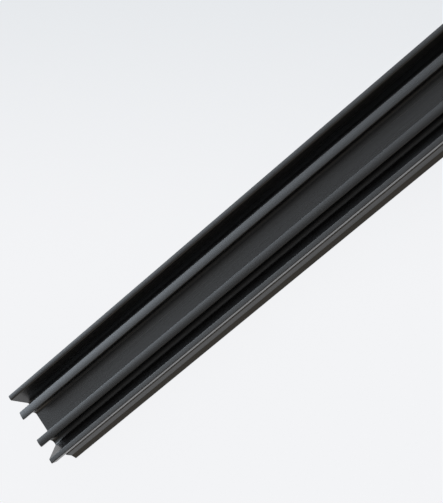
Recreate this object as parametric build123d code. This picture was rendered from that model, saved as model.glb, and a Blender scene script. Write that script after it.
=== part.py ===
from build123d import *
import math
import os

# A black PVC extrusion, one piece of stock, lying on its two feet.
# The row's X runs along the stock, Y across the section and Z up.
# The origin is on the floor, under the middle of the stock.
# Every size is in millimetres and every angle in degrees.

LENGTH = 1000.0

# The web is the flat floor of the trough. Heights are measured from its upper face.
WEB_WALL = 1.5
TROUGH_DEPTH = 8.2          # from the web up to the rims
HEAD_RISE = 0.15            # how far the ribs' heads stand above the rims
SIDE_FLOOR_LIFT = 0.4       # the two side channels are this much shallower

# Two ribs stand on the web, each with a T-shaped head.
RIB_PITCH = 13.2            # from rib to rib, centre to centre
RIB_WALL = 1.5
HEAD_WIDTH = 3.45
HEAD_WALL = 1.4
HEAD_CROWN = 0.2            # how far the heads' domed tops fall from the middle to the edges
ROOT_RADIUS = 1.5           # where a rib meets the middle channel's floor
SIDE_ROOT_SHARE = 0.68      # of a side channel's floor that the rib's root radius takes
HEAD_EDGE_RADIUS = 0.3
DOME_SHARE = 0.9            # of each half of a head's top, outside its edge radius, that the dome's arc takes
HEAD_ROOT_RADIUS = 0.25

# Two wings lean outwards and form the side walls.
SIDE_CHANNEL_WIDTH = 2.75   # of a side channel's floor, from the rib to the wing
WING_WALL = 1.75
WING_LEAN = 28.5            # from the vertical
WING_ROOT_RADIUS = 0.8
RIM_RADIUS = 0.3

# Under each wing a shoulder slopes out to a crest, and a leg goes down to a splayed foot.
SHOULDER_WALL = 1.5
SHOULDER_SLOPE = 22.0       # below the horizontal
SHOULDER_REACH = 3.9        # from the notch, level with the web's upper face, out to the crest
CREST_RADIUS = 1.0
NOTCH_RADIUS = 0.4
LEG_WALL = 1.5
LEG_LEAN = 22.5             # from the vertical
LEG_FALL = 2.4              # from the crest to the bend of the foot
FOOT_WALL = 1.5
FOOT_SLOPE = 33.0           # below the horizontal
FOOT_REACH = 1.95           # from the bend out to the tip
TIP_HEIGHT = 0.5            # of the tip's blunt edge
BEND_RADIUS = 0.5
TIP_RADIUS = 0.2
SOLE_RADIUS = 0.15
INNER_BEND_RADIUS = 0.8


def heading(degrees):
    """The unit direction at an angle above the horizontal."""
    return Vector(math.cos(math.radians(degrees)), math.sin(math.radians(degrees)))


def crossing(point_a, angle_a, point_b, angle_b):
    """The corner where two faces meet, each given by a point on it and its angle."""
    a, b = heading(angle_a), heading(angle_b)
    gap = point_b - point_a
    reach = (gap.X * b.Y - gap.Y * b.X) / (a.X * b.Y - a.Y * b.X)
    return point_a + a * reach


def under(point, angle, wall):
    """A point on the parallel face, one wall to the right of a face that runs at an angle."""
    return point + heading(angle - 90) * wall


def rib_corners():
    """One rib with its head, from the middle trough to the side channel, each corner with its radius."""
    inner = (RIB_PITCH - RIB_WALL) / 2
    outer = (RIB_PITCH + RIB_WALL) / 2
    head_inner = (RIB_PITCH - HEAD_WIDTH) / 2
    head_outer = (RIB_PITCH + HEAD_WIDTH) / 2
    top = TROUGH_DEPTH + HEAD_RISE
    shelf = top - HEAD_WALL
    shoulder = top - HEAD_CROWN
    dome_radius = DOME_SHARE * (HEAD_WIDTH / 2 - HEAD_EDGE_RADIUS) * HEAD_WIDTH / 2 / HEAD_CROWN
    return [
        (Vector(inner, 0), ROOT_RADIUS),
        (Vector(inner, shelf), HEAD_ROOT_RADIUS),
        (Vector(head_inner, shelf), HEAD_EDGE_RADIUS),
        (Vector(head_inner, shoulder), HEAD_EDGE_RADIUS),
        (Vector(RIB_PITCH / 2, top), dome_radius),
        (Vector(head_outer, shoulder), HEAD_EDGE_RADIUS),
        (Vector(head_outer, shelf), HEAD_EDGE_RADIUS),
        (Vector(outer, shelf), HEAD_ROOT_RADIUS),
        (Vector(outer, SIDE_FLOOR_LIFT), SIDE_ROOT_SHARE * SIDE_CHANNEL_WIDTH),
    ]


def wing_point(height, outside):
    """A point of the wing's inner face, or of its outer one, at a height above the web."""
    root = Vector((RIB_PITCH + RIB_WALL) / 2 + SIDE_CHANNEL_WIDTH, SIDE_FLOOR_LIFT)
    rise = 90 - WING_LEAN
    face = under(root, rise, WING_WALL) if outside else root
    return crossing(face, rise, Vector(0, height), 0)


def wing_corners():
    """One wing: the foot of its inner face, then its rim."""
    return [
        (wing_point(SIDE_FLOOR_LIFT, outside=False), WING_ROOT_RADIUS),
        (wing_point(TROUGH_DEPTH, outside=False), RIM_RADIUS),
        (wing_point(TROUGH_DEPTH, outside=True), RIM_RADIUS),
    ]


def leg_corners():
    """The notch under the wing, the crest, the leg and the foot, then back along the hidden underside."""
    leg_angle = LEG_LEAN - 90
    notch = wing_point(0, outside=True)
    crest = crossing(notch, -SHOULDER_SLOPE, notch + Vector(SHOULDER_REACH, 0), 90)
    bend = crossing(crest, leg_angle, crest - Vector(0, LEG_FALL), 0)
    tip = crossing(bend, -FOOT_SLOPE, bend + Vector(FOOT_REACH, 0), 90)

    shoulder_under = under(crest, -SHOULDER_SLOPE, SHOULDER_WALL)
    leg_inside = under(crest, leg_angle, LEG_WALL)
    foot_under = under(bend, -FOOT_SLOPE, FOOT_WALL)
    toe = tip - Vector(0, TIP_HEIGHT)
    heel = crossing(foot_under, -FOOT_SLOPE, toe, 0)
    inner_bend = crossing(leg_inside, leg_angle, foot_under, -FOOT_SLOPE)
    inner_crest = crossing(shoulder_under, -SHOULDER_SLOPE, leg_inside, leg_angle)
    web_edge = crossing(Vector(0, -WEB_WALL), 0, shoulder_under, -SHOULDER_SLOPE)
    return [
        (notch, NOTCH_RADIUS),
        (crest, CREST_RADIUS),
        (bend, BEND_RADIUS),
        (tip, TIP_RADIUS),
        (toe, SOLE_RADIUS),
        (heel, SOLE_RADIUS),
        (inner_bend, BEND_RADIUS),
        (inner_crest, INNER_BEND_RADIUS),
        (web_edge, INNER_BEND_RADIUS),
    ]


def section():
    """The whole section, mirrored about the middle of the trough."""
    corners = rib_corners() + wing_corners() + leg_corners()
    points = [Vector(0, 0)] + [point for point, radius in corners] + [Vector(0, -WEB_WALL)]
    with BuildSketch(Plane.YZ) as sketch:
        with BuildLine():
            half = FilletPolyline(*points, radius=[radius for point, radius in corners])
            mirror(half, about=Plane.YZ)
        make_face()
    return sketch.sketch


def pvc_profile():
    """The stock, extruded both ways from its middle and set down on the floor."""
    stock = extrude(section(), amount=LENGTH / 2, both=True)
    return Pos(0, 0, -stock.bounding_box().min.Z) * stock


os.makedirs("parts", exist_ok=True)
export_step(pvc_profile(), "parts/pvc_profile.step")
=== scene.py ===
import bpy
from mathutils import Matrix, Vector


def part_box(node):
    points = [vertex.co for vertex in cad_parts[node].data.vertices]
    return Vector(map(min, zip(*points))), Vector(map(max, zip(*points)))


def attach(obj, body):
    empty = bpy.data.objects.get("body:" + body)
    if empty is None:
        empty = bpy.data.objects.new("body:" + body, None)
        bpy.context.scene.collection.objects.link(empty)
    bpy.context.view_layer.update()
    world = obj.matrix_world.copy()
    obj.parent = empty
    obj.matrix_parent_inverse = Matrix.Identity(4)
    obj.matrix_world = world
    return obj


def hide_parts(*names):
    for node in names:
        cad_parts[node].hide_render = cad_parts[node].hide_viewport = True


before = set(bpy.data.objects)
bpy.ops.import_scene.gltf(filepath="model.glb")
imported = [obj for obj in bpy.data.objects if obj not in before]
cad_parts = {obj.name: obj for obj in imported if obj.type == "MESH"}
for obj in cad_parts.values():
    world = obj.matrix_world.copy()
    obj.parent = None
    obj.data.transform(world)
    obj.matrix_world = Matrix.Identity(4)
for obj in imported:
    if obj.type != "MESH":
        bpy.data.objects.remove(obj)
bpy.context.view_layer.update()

import math

import bpy
from mathutils import Matrix, Vector

# A black PVC extrusion: an open trough with two T-headed ribs, leaning wings and splayed feet.
# The scene is in metres. The section's sizes are in millimetres, which MM turns into metres, and every
# angle is in degrees.
MM = 0.001
NODE = "pvc_profile"
BOX_LOW, BOX_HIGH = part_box(NODE)
LENGTH = BOX_HIGH.x - BOX_LOW.x

# The trough, its ribs and their heads.
WEB_WALL = 1.5
TROUGH_DEPTH = 8.2
HEAD_RISE = 0.15
SIDE_FLOOR_LIFT = 0.4
RIB_PITCH = 13.2
RIB_WALL = 1.5
HEAD_WIDTH = 3.45
HEAD_WALL = 1.4
HEAD_CROWN = 0.27           # how far a head's domed top falls from its middle to its edges
ROOT_RADIUS = 1.5
SIDE_ROOT_SHARE = 0.68      # of a side channel's floor that the rib's root radius takes
HEAD_EDGE_RADIUS = 0.3
DOME_SHARE = 0.9            # of each half of a domed top, up to its edge's round, that the dome's arc takes
HEAD_ROOT_RADIUS = 0.25

# The wings.
SIDE_CHANNEL_WIDTH = 2.75
WING_WALL = 1.75
WING_LEAN = 28.5
WING_ROOT_RADIUS = 0.8
RIM_RADIUS = 0.3

# Each rim has a steep side outside, which steps back to the wing's leaning face. It mirrors the pale
# floor, and stands in for what makes the thin pale line beside the right rim.
RIM_SIDE = 3.1              # the height of the steep side
SIDE_DRAFT = 2.5            # from the vertical, outwards on the way down
RIM_STEP = 0.3              # how much lower the step meets the leaning face
STEP_RADIUS = 0.15

# The shoulders, legs and feet.
SHOULDER_WALL = 1.5
SHOULDER_SLOPE = 22.0
SHOULDER_REACH = 3.9
CREST_RADIUS = 1.0
NOTCH_RADIUS = 0.4
LEG_WALL = 1.5
LEG_LEAN = 26.5
LEG_FALL = 2.4
FOOT_WALL = 1.5
FOOT_SLOPE = 36.0
FOOT_REACH = 1.74
TIP_HEIGHT = 0.5
BEND_RADIUS = 0.5
TIP_RADIUS = 0.2
SOLE_RADIUS = 0.15
INNER_BEND_RADIUS = 0.8

# The tops' own small slopes, chosen for the way they catch the light. Above 0, a top falls outwards.
# A drop is how much lower a head stands, a crown is how far a domed top falls from its middle to its
# edges, and inside is the radius of a rim's inner edge.
LEFT_HEAD = dict(slope=8.5, drop=0.08)
RIGHT_HEAD = dict(slope=0.0, drop=0.0)
LEFT_RIM = dict(slope=4.0, crown=0.12, inside=0.7)
RIGHT_RIM = dict(slope=-3.5, crown=0.05, inside=0.25)

# How finely the piece is made.
ARC_STEPS = 8
LENGTH_STEPS = 60
CUT_EDGE = 0.12 * MM        # the small round that the saw leaves on a cut end's edges
SHARP_ANGLE = 60.0          # an edge sharper than this is a cut end's edge

# The plastic's finish.
PLASTIC_DARK = (0.0090, 0.0091, 0.0094, 1)
PLASTIC_LIGHT = (0.0130, 0.0131, 0.0134, 1)
DUST = (0.16, 0.16, 0.17, 1)
SCUFF = (0.022, 0.022, 0.024, 1)
SAWN = (0.020, 0.020, 0.022, 1)
POLISH = 0.27               # the skin's roughness where it is cleanest
DIE_LINES = 900.0           # how many die lines cross a metre
FINE_LINES = 4200.0         # how many finer lines do
LINE_STRETCH = 700.0        # how many times longer than wide a die line is
LINE_RANGE = (0.3, 0.7)     # the noise's values where a line begins and where it is full
NOISE_ROUGHNESS = 0.55      # how strong the finer layers of the drawn out noise are
FINE_SHARE = 0.25           # how deep a fine line is, as a share of a die line
LINE_RELIEF = 0.004 * MM
GRAIN = 9000.0              # how many grains cross a metre
GRAIN_RELIEF = 0.0012 * MM
SAW_MARKS = (1, 300, 3800)  # how many saw marks a metre holds along each axis
SAW_RELIEF = 0.03 * MM
RUBS = 1500.0               # how many rubs would cross a metre if they lay everywhere
RUB_STRETCH = 25.0          # how many times longer than wide a rub is
RUB_RANGE = (0.56, 0.72)    # the noise's values where a rub begins and where it is full
RUB_PATCHES = 14.0          # how many patches of rubs a metre holds
PATCH_RANGE = (0.5, 0.66)   # the noise's values where a patch begins and where it is full
DUST_CELLS = 260.0          # how many places for a speck a metre holds
DUST_SHARE = 0.05           # of those places that have one
DUST_SIZE = 0.05            # a speck's largest radius, as a share of its place
DUST_EDGE = 0.03            # the width of a speck's soft edge, as such a share
FINE_DULLING = 0.06         # what the fine lines, the rubs, and dust or sawing add to the roughness
RUB_DULLING = 0.12
DUST_DULLING = 0.35

# The floor's glow, which fades a little towards the back of the view.
FLOOR_NEAR = (0.875, 0.881, 0.899, 1)
FLOOR_FAR = (0.675, 0.710, 0.743, 1)
FLOOR_FADE = Vector((1.22, 1.88, 0)).normalized()   # the way in which it fades
FLOOR_FADE_FROM, FLOOR_FADE_TO = -0.22, 0.02        # where the fade begins and ends that way
FLOOR_ALBEDO = 0.03
FLOOR_SIZE = 30

# The room's light, by how far to the left it comes from: the direction's share along +Y, then its colour.
# It is warm far on the right, dimmest between there and overhead, and brighter and a little bluish on
# the left.
ROOM = (
    (-0.60, (0.62, 0.55, 0.46)),
    (-0.50, (0.24, 0.22, 0.20)),
    (-0.20, (0.15, 0.15, 0.15)),
    (-0.10, (0.36, 0.36, 0.36)),
    (0.0, (0.58, 0.58, 0.58)),
    (0.12, (0.70, 0.71, 0.73)),
    (0.20, (0.74, 0.77, 0.81)),
)
# The bright wall on the left, given in the same way. Its light is none where the direction's share
# along the stock is below WALL_NEAR, and full where it is above WALL_FAR.
WALL = (
    (0.12, (0.0, 0.0, 0.0)),
    (0.22, (1.15, 1.27, 1.38)),
    (0.36, (3.3, 3.7, 4.1)),
    (0.46, (4.2, 4.7, 5.3)),
    (0.75, (2.9, 3.3, 3.7)),
    (0.90, (0.3, 0.3, 0.3)),
)
WALL_NEAR, WALL_FAR = 0.645, 0.685
BACKDROP = (0.88, 0.89, 0.91, 1)

# The camera, which looks down along the stock towards the end that the photo shows.
AIM = Vector((-369.75, 6.6, 5.7)) * MM
AZIMUTH = 77.98             # at 0 it looks along +Y, and at 90 along -X
ELEVATION = 48.75
DISTANCE = 1401.3 * MM
ROLL = -114.42
LENS, SENSOR = 262.4, 36.0  # in millimetres
CLIP_NEAR, CLIP_FAR = 0.05, 60


def heading(degrees):
    """The unit direction at an angle above the horizontal."""
    return Vector((math.cos(math.radians(degrees)), math.sin(math.radians(degrees))))


def crossing(point_a, angle_a, point_b, angle_b):
    """The corner where two faces meet, each given by a point on it and its angle."""
    a, b = heading(angle_a), heading(angle_b)
    gap = point_b - point_a
    return point_a + a * ((gap.x * b.y - gap.y * b.x) / (a.x * b.y - a.y * b.x))


def under(point, angle, wall):
    """A point on the parallel face, one wall to the right of a face that runs at an angle."""
    return point + heading(angle - 90) * wall


def wing_point(height, outside):
    """A point of the wing's inner face, or of its outer one, at a height above the web."""
    root = Vector(((RIB_PITCH + RIB_WALL) / 2 + SIDE_CHANNEL_WIDTH, SIDE_FLOOR_LIFT))
    rise = 90 - WING_LEAN
    face = under(root, rise, WING_WALL) if outside else root
    return crossing(face, rise, Vector((0, height)), 0)


def rib_corners(slope, drop):
    """One rib with its head, whose top falls outwards by the slope and is lower by the drop."""
    inner, outer = (RIB_PITCH - RIB_WALL) / 2, (RIB_PITCH + RIB_WALL) / 2
    head_inner, head_outer = (RIB_PITCH - HEAD_WIDTH) / 2, (RIB_PITCH + HEAD_WIDTH) / 2
    top = TROUGH_DEPTH + HEAD_RISE - drop
    shelf = TROUGH_DEPTH + HEAD_RISE - HEAD_WALL
    side = top - HEAD_CROWN
    tilt = math.tan(math.radians(slope)) * HEAD_WIDTH / 2
    dome_radius = DOME_SHARE * (HEAD_WIDTH / 2 - HEAD_EDGE_RADIUS) * HEAD_WIDTH / 2 / HEAD_CROWN
    return [
        (Vector((inner, 0)), ROOT_RADIUS),
        (Vector((inner, shelf)), HEAD_ROOT_RADIUS),
        (Vector((head_inner, shelf)), HEAD_EDGE_RADIUS),
        (Vector((head_inner, side + tilt)), HEAD_EDGE_RADIUS),
        (Vector((RIB_PITCH / 2, top)), dome_radius),
        (Vector((head_outer, side - tilt)), HEAD_EDGE_RADIUS),
        (Vector((head_outer, shelf)), HEAD_EDGE_RADIUS),
        (Vector((outer, shelf)), HEAD_ROOT_RADIUS),
        (Vector((outer, SIDE_FLOOR_LIFT)), SIDE_ROOT_SHARE * SIDE_CHANNEL_WIDTH),
    ]


def wing_corners(slope, crown, inside):
    """One wing: its inner face, its rim, whose top falls by the slope, and the rim's steep side."""
    rim_edge = wing_point(TROUGH_DEPTH, outside=True)
    half = (rim_edge.x - wing_point(TROUGH_DEPTH, outside=False).x) / 2
    tilt = math.tan(math.radians(slope)) * half
    inner_fall, outer_fall = max(0, -2 * tilt), max(0, 2 * tilt)
    outer_edge = rim_edge - Vector((0, crown + outer_fall))
    side_foot = Vector((0, TROUGH_DEPTH - RIM_SIDE))
    inner_round = inside * math.tan(math.radians(90 - WING_LEAN) / 2)
    return [
        (wing_point(SIDE_FLOOR_LIFT, outside=False), WING_ROOT_RADIUS),
        (wing_point(TROUGH_DEPTH - crown - inner_fall, outside=False), inside),
        (rim_edge - Vector((half, abs(tilt))), DOME_SHARE * (half - inner_round) * half / crown),
        (outer_edge, RIM_RADIUS),
        (crossing(outer_edge, SIDE_DRAFT - 90, side_foot, 0), STEP_RADIUS),
        (wing_point(TROUGH_DEPTH - RIM_SIDE - RIM_STEP, outside=True), RIM_RADIUS),
    ]


def leg_corners():
    """The notch under the wing, the crest, the leg and the foot, then back along the underside."""
    leg_angle = LEG_LEAN - 90
    notch = wing_point(0, outside=True)
    crest = crossing(notch, -SHOULDER_SLOPE, notch + Vector((SHOULDER_REACH, 0)), 90)
    bend = crossing(crest, leg_angle, crest - Vector((0, LEG_FALL)), 0)
    tip = crossing(bend, -FOOT_SLOPE, bend + Vector((FOOT_REACH, 0)), 90)
    toe = tip - Vector((0, TIP_HEIGHT))
    shoulder_under = under(crest, -SHOULDER_SLOPE, SHOULDER_WALL)
    leg_inside = under(crest, leg_angle, LEG_WALL)
    foot_under = under(bend, -FOOT_SLOPE, FOOT_WALL)
    return [
        (notch, NOTCH_RADIUS),
        (crest, CREST_RADIUS),
        (bend, BEND_RADIUS),
        (tip, TIP_RADIUS),
        (toe, SOLE_RADIUS),
        (crossing(foot_under, -FOOT_SLOPE, toe, 0), SOLE_RADIUS),
        (crossing(leg_inside, leg_angle, foot_under, -FOOT_SLOPE), BEND_RADIUS),
        (crossing(shoulder_under, -SHOULDER_SLOPE, leg_inside, leg_angle), INNER_BEND_RADIUS),
        (crossing(Vector((0, -WEB_WALL)), 0, shoulder_under, -SHOULDER_SLOPE), INNER_BEND_RADIUS),
    ]


def section_curve():
    """The section as a closed curve, its soles at height 0, each point's radius its corner's round."""
    left = rib_corners(**LEFT_HEAD) + wing_corners(**LEFT_RIM) + leg_corners()
    right = rib_corners(**RIGHT_HEAD) + wing_corners(**RIGHT_RIM) + leg_corners()
    soles = min(point.y for point, radius in right)
    ring = left + [(Vector((-point.x, point.y)), radius) for point, radius in reversed(right)]
    data = bpy.data.curves.new("section", "CURVE")
    data.dimensions = "3D"
    spline = data.splines.new("POLY")
    spline.points.add(len(ring) - 1)
    for slot, (point, radius) in zip(spline.points, reversed(ring)):
        slot.co = (-point.x * MM, (soles - point.y) * MM, 0, 1)
        slot.radius = radius * MM
    spline.use_cyclic_u = True
    curve = bpy.data.objects.new("section", data)
    bpy.context.scene.collection.objects.link(curve)
    return curve


def node(tree, kind, **settings):
    """A new node, with its settings and its inputs' values given by name."""
    made = tree.nodes.new(kind)
    for name, value in settings.items():
        if hasattr(made, name):
            setattr(made, name, value)
        else:
            made.inputs[name.replace("_", " ")].default_value = value
    return made


def extrusion_tree(material):
    """Rounds the section's corners, sweeps it along the stock and closes both ends."""
    tree = bpy.data.node_groups.new("extrude_section", "GeometryNodeTree")
    sockets = tree.interface
    sockets.new_socket("Geometry", in_out="INPUT", socket_type="NodeSocketGeometry")
    sockets.new_socket("Geometry", in_out="OUTPUT", socket_type="NodeSocketGeometry")
    sockets.new_socket("Length", in_out="INPUT", socket_type="NodeSocketFloat").default_value = LENGTH
    for name, value in (("Arc steps", ARC_STEPS), ("Length steps", LENGTH_STEPS)):
        sockets.new_socket(name, in_out="INPUT", socket_type="NodeSocketInt").default_value = value
    link = tree.links.new
    given = tree.nodes.new("NodeGroupInput")
    result = tree.nodes.new("NodeGroupOutput")

    rounded = node(tree, "GeometryNodeFilletCurve", mode="POLY")
    radius = tree.nodes.new("GeometryNodeInputRadius")
    link(given.outputs["Geometry"], rounded.inputs["Curve"])
    link(radius.outputs[0], rounded.inputs["Radius"])
    link(given.outputs["Arc steps"], rounded.inputs["Count"])
    plain = node(tree, "GeometryNodeSetCurveRadius", Radius=1.0)
    link(rounded.outputs[0], plain.inputs["Curve"])

    half = node(tree, "ShaderNodeMath", operation="MULTIPLY")
    half.inputs[1].default_value = 0.5
    link(given.outputs["Length"], half.inputs[0])
    minus = node(tree, "ShaderNodeMath", operation="MULTIPLY")
    minus.inputs[1].default_value = -0.5
    link(given.outputs["Length"], minus.inputs[0])
    start, end = tree.nodes.new("ShaderNodeCombineXYZ"), tree.nodes.new("ShaderNodeCombineXYZ")
    link(minus.outputs[0], start.inputs["X"])
    link(half.outputs[0], end.inputs["X"])
    line = tree.nodes.new("GeometryNodeCurvePrimitiveLine")
    link(start.outputs[0], line.inputs["Start"])
    link(end.outputs[0], line.inputs["End"])
    path = tree.nodes.new("GeometryNodeResampleCurve")
    link(line.outputs[0], path.inputs["Curve"])
    link(given.outputs["Length steps"], path.inputs["Count"])
    upright = node(tree, "GeometryNodeSetCurveNormal", mode="Z_UP")
    link(path.outputs[0], upright.inputs["Curve"])

    sweep = tree.nodes.new("GeometryNodeCurveToMesh")
    sweep.inputs["Fill Caps"].default_value = True
    link(upright.outputs[0], sweep.inputs["Curve"])
    link(plain.outputs[0], sweep.inputs["Profile Curve"])
    smooth = tree.nodes.new("GeometryNodeSetShadeSmooth")
    link(sweep.outputs[0], smooth.inputs["Geometry"])
    real = tree.nodes.new("GeometryNodeRealizeInstances")
    link(smooth.outputs[0], real.inputs[0])
    dressed = node(tree, "GeometryNodeSetMaterial", Material=material)
    link(real.outputs[0], dressed.inputs["Geometry"])
    link(dressed.outputs[0], result.inputs[0])
    return tree


def group(name, inputs, output):
    """A new shader node group with named float inputs beside its vector, and one named output."""
    tree = bpy.data.node_groups.new(name, "ShaderNodeTree")
    tree.interface.new_socket("Vector", in_out="INPUT", socket_type="NodeSocketVector")
    for title in inputs:
        tree.interface.new_socket(title, in_out="INPUT", socket_type="NodeSocketFloat")
    tree.interface.new_socket(output, in_out="OUTPUT", socket_type="NodeSocketFloat")
    return tree, tree.nodes.new("NodeGroupInput"), tree.nodes.new("NodeGroupOutput")


def ranged(tree, source, low, high, to_low=0.0, to_high=1.0):
    """A value spread smoothly from one range onto another."""
    spread = node(tree, "ShaderNodeMapRange", interpolation_type="SMOOTHSTEP", From_Min=low, From_Max=high,
                  To_Min=to_low, To_Max=to_high)
    tree.links.new(source, spread.inputs["Value"])
    return spread.outputs["Result"]


def combined(tree, operation, first, second):
    """Two values, or a value and a number, put together by one sum."""
    made = node(tree, "ShaderNodeMath", operation=operation)
    for slot, source in zip(made.inputs, (first, second)):
        if isinstance(source, (int, float)):
            slot.default_value = source
        else:
            tree.links.new(source, slot)
    return made.outputs[0]


def stretched_noise(tree, vector, scale, stretch, detail):
    """Noise drawn out along the stock: the scale is across it, and the stretch is along it."""
    along = combined(tree, "DIVIDE", scale, stretch)
    factors = tree.nodes.new("ShaderNodeCombineXYZ")
    tree.links.new(along, factors.inputs["X"])
    tree.links.new(scale, factors.inputs["Y"])
    tree.links.new(scale, factors.inputs["Z"])
    place = node(tree, "ShaderNodeVectorMath", operation="MULTIPLY")
    tree.links.new(vector, place.inputs[0])
    tree.links.new(factors.outputs[0], place.inputs[1])
    noise = node(tree, "ShaderNodeTexNoise", Scale=1.0, Detail=detail, Roughness=NOISE_ROUGHNESS)
    tree.links.new(place.outputs[0], noise.inputs["Vector"])
    return noise.outputs["Fac"]


def drawn_lines():
    """The faint lines that the die leaves along the stock."""
    tree, given, result = group("drawn_lines", ("Lines per metre", "Stretch"), "Lines")
    noise = stretched_noise(tree, given.outputs["Vector"], given.outputs["Lines per metre"],
                            given.outputs["Stretch"], detail=2.0)
    tree.links.new(ranged(tree, noise, *LINE_RANGE), result.inputs["Lines"])
    return tree


def specks():
    """Sparse round specks of dust, in the share of the cells that the amount gives."""
    tree, given, result = group("specks", ("Cells per metre", "Amount", "Size"), "Specks")
    cells = node(tree, "ShaderNodeTexVoronoi", feature="F1")
    tree.links.new(given.outputs["Vector"], cells.inputs["Vector"])
    tree.links.new(given.outputs["Cells per metre"], cells.inputs["Scale"])
    chance = tree.nodes.new("ShaderNodeSeparateColor")
    tree.links.new(cells.outputs["Color"], chance.inputs[0])
    chosen = combined(tree, "LESS_THAN", chance.outputs["Red"], given.outputs["Amount"])
    radius = combined(tree, "MULTIPLY", chance.outputs["Green"], given.outputs["Size"])
    inside = combined(tree, "SUBTRACT", radius, cells.outputs["Distance"])
    spot = combined(tree, "MULTIPLY", chosen, ranged(tree, inside, 0.0, DUST_EDGE))
    tree.links.new(spot, result.inputs["Specks"])
    return tree


def scuffs():
    """Short faint rubs along the stock, gathered in a few patches."""
    tree, given, result = group("scuffs", ("Rubs per metre", "Stretch", "Patches per metre"), "Scuffs")
    rubs = stretched_noise(tree, given.outputs["Vector"], given.outputs["Rubs per metre"],
                           given.outputs["Stretch"], detail=3.0)
    patches = node(tree, "ShaderNodeTexNoise", Detail=1.0)
    tree.links.new(given.outputs["Vector"], patches.inputs["Vector"])
    tree.links.new(given.outputs["Patches per metre"], patches.inputs["Scale"])
    strong = ranged(tree, rubs, *RUB_RANGE)
    gathered = ranged(tree, patches.outputs["Fac"], *PATCH_RANGE)
    tree.links.new(combined(tree, "MULTIPLY", strong, gathered), result.inputs["Scuffs"])
    return tree


def placed(tree, kind, vector, **values):
    """A node group in a material, reading the given vector, with its own values."""
    made = node(tree, "ShaderNodeGroup", node_tree=kind)
    tree.links.new(vector, made.inputs["Vector"])
    for title, value in values.items():
        made.inputs[title.replace("_", " ")].default_value = value
    return made.outputs[0]


def tinted(tree, share, under, colour):
    """A colour laid over another by a share that changes over the surface."""
    mix = node(tree, "ShaderNodeMix", data_type="RGBA")
    tree.links.new(share, mix.inputs["Factor"])
    if isinstance(under, tuple):
        mix.inputs[6].default_value = under
    else:
        tree.links.new(under, mix.inputs[6])
    mix.inputs[7].default_value = colour
    return mix.outputs[2]


def black_pvc():
    """Satin black plastic with die lines, faint rubs, a little dust, and saw marks on its cut ends."""
    material = bpy.data.materials.new("black_pvc")
    material.use_nodes = True
    tree = material.node_tree
    shader = tree.nodes["Principled BSDF"]
    place = tree.nodes.new("ShaderNodeTexCoord").outputs["Object"]
    lines_kind = drawn_lines()
    lines = placed(tree, lines_kind, place, Lines_per_metre=DIE_LINES, Stretch=LINE_STRETCH)
    fine = placed(tree, lines_kind, place, Lines_per_metre=FINE_LINES, Stretch=LINE_STRETCH)
    rubbed = placed(tree, scuffs(), place, Rubs_per_metre=RUBS, Stretch=RUB_STRETCH,
                    Patches_per_metre=RUB_PATCHES)
    dusty = placed(tree, specks(), place, Cells_per_metre=DUST_CELLS, Amount=DUST_SHARE, Size=DUST_SIZE)
    grain = node(tree, "ShaderNodeTexNoise", Scale=GRAIN, Detail=2.0)
    tree.links.new(place, grain.inputs["Vector"])

    split = tree.nodes.new("ShaderNodeSeparateXYZ")
    tree.links.new(place, split.inputs[0])
    depth = combined(tree, "ABSOLUTE", split.outputs["X"], 0.0)
    sawn = combined(tree, "GREATER_THAN", depth, LENGTH / 2 - CUT_EDGE / 4)
    marks = node(tree, "ShaderNodeTexNoise", Scale=1.0, Detail=3.0)
    across = node(tree, "ShaderNodeVectorMath", operation="MULTIPLY")
    across.inputs[1].default_value = SAW_MARKS
    tree.links.new(place, across.inputs[0])
    tree.links.new(across.outputs[0], marks.inputs["Vector"])

    skin = tinted(tree, lines, PLASTIC_DARK, PLASTIC_LIGHT)
    skin = tinted(tree, rubbed, skin, SCUFF)
    skin = tinted(tree, sawn, skin, SAWN)
    tree.links.new(tinted(tree, dusty, skin, DUST), shader.inputs["Base Color"])

    rough = ranged(tree, fine, 0.0, 1.0, POLISH, POLISH + FINE_DULLING)
    rough = combined(tree, "ADD", rough, combined(tree, "MULTIPLY", rubbed, RUB_DULLING))
    dull = combined(tree, "MAXIMUM", dusty, sawn)
    rough = combined(tree, "ADD", rough, combined(tree, "MULTIPLY", dull, DUST_DULLING))
    tree.links.new(rough, shader.inputs["Roughness"])

    drawn = combined(tree, "ADD", lines, combined(tree, "MULTIPLY", fine, FINE_SHARE))
    relief = combined(tree, "MULTIPLY", drawn, LINE_RELIEF)
    relief = combined(tree, "ADD", relief, combined(tree, "MULTIPLY", grain.outputs["Fac"], GRAIN_RELIEF))
    sawing = combined(tree, "MULTIPLY", combined(tree, "MULTIPLY", marks.outputs["Fac"], sawn), SAW_RELIEF)
    bump = node(tree, "ShaderNodeBump", Strength=1.0, Distance=1.0)
    tree.links.new(combined(tree, "ADD", relief, sawing), bump.inputs["Height"])
    tree.links.new(bump.outputs["Normal"], shader.inputs["Normal"])
    return material


def extruded_piece(material):
    """The stock itself: the swept section as a plain mesh, with its cut edges eased."""
    carrier = section_curve()
    sweep = carrier.modifiers.new("extrude", "NODES")
    sweep.node_group = extrusion_tree(material)
    graph = bpy.context.evaluated_depsgraph_get()
    mesh = bpy.data.meshes.new_from_object(carrier.evaluated_get(graph), depsgraph=graph)
    bpy.data.objects.remove(carrier)
    mesh.name = "extruded_profile"
    piece = bpy.data.objects.new("extruded_profile", mesh)
    bpy.context.scene.collection.objects.link(piece)
    eased = piece.modifiers.new("cut_edge", "BEVEL")
    eased.width = CUT_EDGE
    eased.segments = 2
    eased.limit_method = "ANGLE"
    eased.angle_limit = math.radians(SHARP_ANGLE)
    eased.harden_normals = False
    flat = piece.modifiers.new("flat_faces", "WEIGHTED_NORMAL")
    flat.keep_sharp = True
    graph = bpy.context.evaluated_depsgraph_get()
    finished = bpy.data.meshes.new_from_object(piece.evaluated_get(graph), depsgraph=graph)
    piece.modifiers.clear()
    piece.data = finished
    return piece


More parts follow.
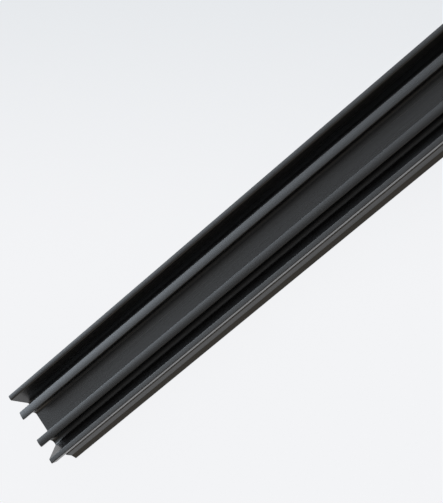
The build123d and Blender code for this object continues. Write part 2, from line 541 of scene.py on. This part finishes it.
def floor():
    """A plain pale floor that glows like a light table, so that it stays pale up to the stock."""
    material = bpy.data.materials.new("floor")
    material.use_nodes = True
    tree = material.node_tree
    shader = tree.nodes["Principled BSDF"]
    shader.inputs["Base Color"].default_value = (FLOOR_ALBEDO, FLOOR_ALBEDO, FLOOR_ALBEDO, 1)
    shader.inputs["Roughness"].default_value = 1.0
    shader.inputs["Specular IOR Level"].default_value = 0.0
    shader.inputs["Emission Strength"].default_value = 1.0
    away = node(tree, "ShaderNodeVectorMath", operation="DOT_PRODUCT")
    away.inputs[1].default_value = FLOOR_FADE
    tree.links.new(tree.nodes.new("ShaderNodeTexCoord").outputs["Object"], away.inputs[0])
    share = ranged(tree, away.outputs["Value"], FLOOR_FADE_FROM, FLOOR_FADE_TO)
    tree.links.new(tinted(tree, share, FLOOR_NEAR, FLOOR_FAR), shader.inputs["Emission Color"])
    bpy.ops.mesh.primitive_plane_add(size=FLOOR_SIZE)
    plane = bpy.context.object
    plane.name = "floor"
    plane.data.materials.append(material)


def graded(tree, across, stops):
    """A colour that runs through the stops as the direction's share along +Y goes from right to left."""
    place = node(tree, "ShaderNodeMapRange", From_Min=-1.0, From_Max=1.0)
    tree.links.new(across, place.inputs["Value"])
    ramp = tree.nodes.new("ShaderNodeValToRGB")
    brightest = max(max(colour) for share, colour in stops)
    elements = ramp.color_ramp.elements
    while len(elements) < len(stops):
        elements.new(1.0)
    for element, (share, colour) in zip(elements, stops):
        element.position = (share + 1) / 2
        element.color = (*(part / brightest for part in colour), 1)
    tree.links.new(place.outputs["Result"], ramp.inputs["Fac"])
    scaled = node(tree, "ShaderNodeVectorMath", operation="SCALE", Scale=brightest)
    tree.links.new(ramp.outputs["Color"], scaled.inputs[0])
    return scaled.outputs[0]


def room():
    """Soft light from all around, brightest from the left, with a plain pale backdrop for the camera."""
    world = bpy.data.worlds.new("room")
    bpy.context.scene.world = world
    world.use_nodes = True
    tree = world.node_tree
    split = tree.nodes.new("ShaderNodeSeparateXYZ")
    tree.links.new(tree.nodes.new("ShaderNodeTexCoord").outputs["Generated"], split.inputs[0])
    along = combined(tree, "ABSOLUTE", split.outputs["X"], 0.0)
    wall = node(tree, "ShaderNodeMix", data_type="RGBA", blend_type="MULTIPLY")
    wall.inputs["Factor"].default_value = 1.0
    tree.links.new(graded(tree, split.outputs["Y"], WALL), wall.inputs[6])
    tree.links.new(ranged(tree, along, WALL_NEAR, WALL_FAR), wall.inputs[7])
    both = node(tree, "ShaderNodeMix", data_type="RGBA", blend_type="ADD")
    both.inputs["Factor"].default_value = 1.0
    tree.links.new(graded(tree, split.outputs["Y"], ROOM), both.inputs[6])
    tree.links.new(wall.outputs[2], both.inputs[7])
    light = tree.nodes["Background"]
    tree.links.new(both.outputs[2], light.inputs["Color"])
    backdrop = node(tree, "ShaderNodeBackground", Color=BACKDROP, Strength=1.0)
    seen = tree.nodes.new("ShaderNodeMixShader")
    tree.links.new(tree.nodes.new("ShaderNodeLightPath").outputs["Is Camera Ray"], seen.inputs["Fac"])
    tree.links.new(light.outputs[0], seen.inputs[1])
    tree.links.new(backdrop.outputs[0], seen.inputs[2])
    tree.links.new(seen.outputs[0], tree.nodes["World Output"].inputs["Surface"])


def camera():
    """The camera, set by where it aims, the way it looks, its distance and its roll."""
    data = bpy.data.cameras.new("camera")
    data.lens = LENS
    data.sensor_width = SENSOR
    data.clip_start, data.clip_end = CLIP_NEAR, CLIP_FAR
    made = bpy.data.objects.new("camera", data)
    bpy.context.scene.collection.objects.link(made)
    azimuth, elevation = math.radians(AZIMUTH), math.radians(ELEVATION)
    flat = Vector((math.sin(azimuth), -math.cos(azimuth), 0)) * math.cos(elevation)
    back = flat + Vector((0, 0, math.sin(elevation)))
    level = back.to_track_quat("Z", "Y").to_matrix().to_4x4()
    rolled = level @ Matrix.Rotation(math.radians(ROLL), 4, "Z")
    made.matrix_world = Matrix.Translation(AIM + back * DISTANCE) @ rolled
    bpy.context.scene.camera = made


profile = extruded_piece(black_pvc())
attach(profile, "root")
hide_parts(NODE)
floor()
room()
camera()
bpy.context.scene.view_settings.view_transform = "Standard"
